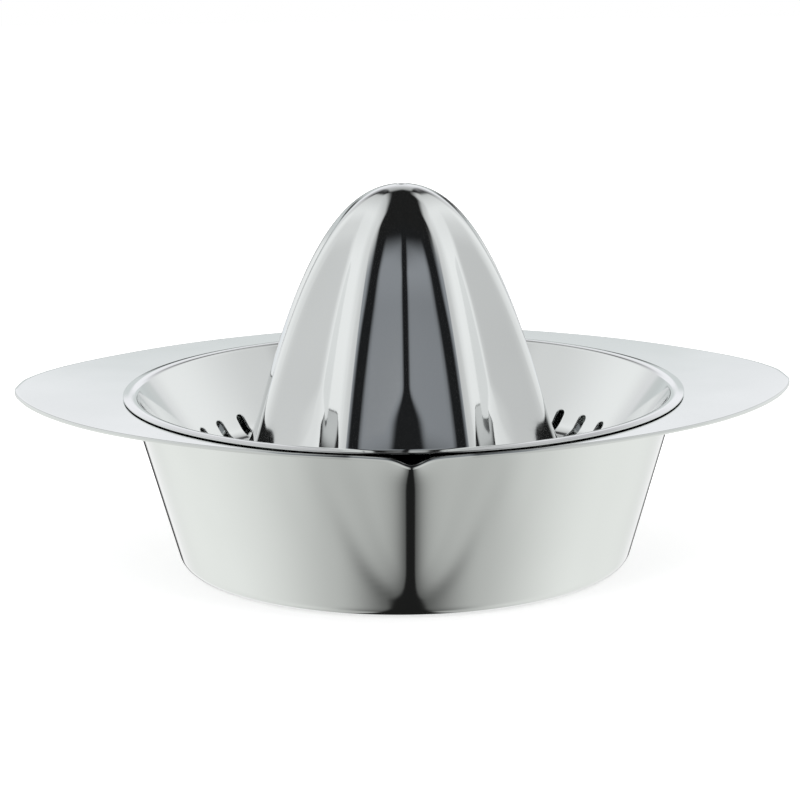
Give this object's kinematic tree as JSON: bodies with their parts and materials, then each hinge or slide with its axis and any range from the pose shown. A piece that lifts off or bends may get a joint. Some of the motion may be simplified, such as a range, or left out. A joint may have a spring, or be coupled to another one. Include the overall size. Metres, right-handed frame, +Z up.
{
  "type": "hand citrus juicer",
  "caption": "Hand citrus juicer: round bowl with a pinched spout and almond flange grips, and a lift-out slotted strainer dish that carries a fluted reamer cone.",
  "frame": {"origin": "centre of the bowl's flat underside", "axes": "+Z up, -Y towards the pouring spout, +X along the flange from grip to grip"},
  "size_m": [0.2116, 0.1718, 0.1029],
  "materials": {
    "bowl_steel": "mirror-polished stainless steel sheet",
    "dish_steel": "mirror-polished stainless steel sheet",
    "cone_steel": "mirror-polished stainless steel sheet"
  },
  "bodies": {
    "bowl": {"juice_bowl": "bowl_steel"},
    "insert": {"strainer_dish": "dish_steel", "reamer_cone": "cone_steel"}
  },
  "joints": [
    {"name": "insert_lift", "type": "slide", "parent": "bowl", "child": "insert", "axis": [0, 0, 1], "range_m": [0, 0.06]}
  ]
}
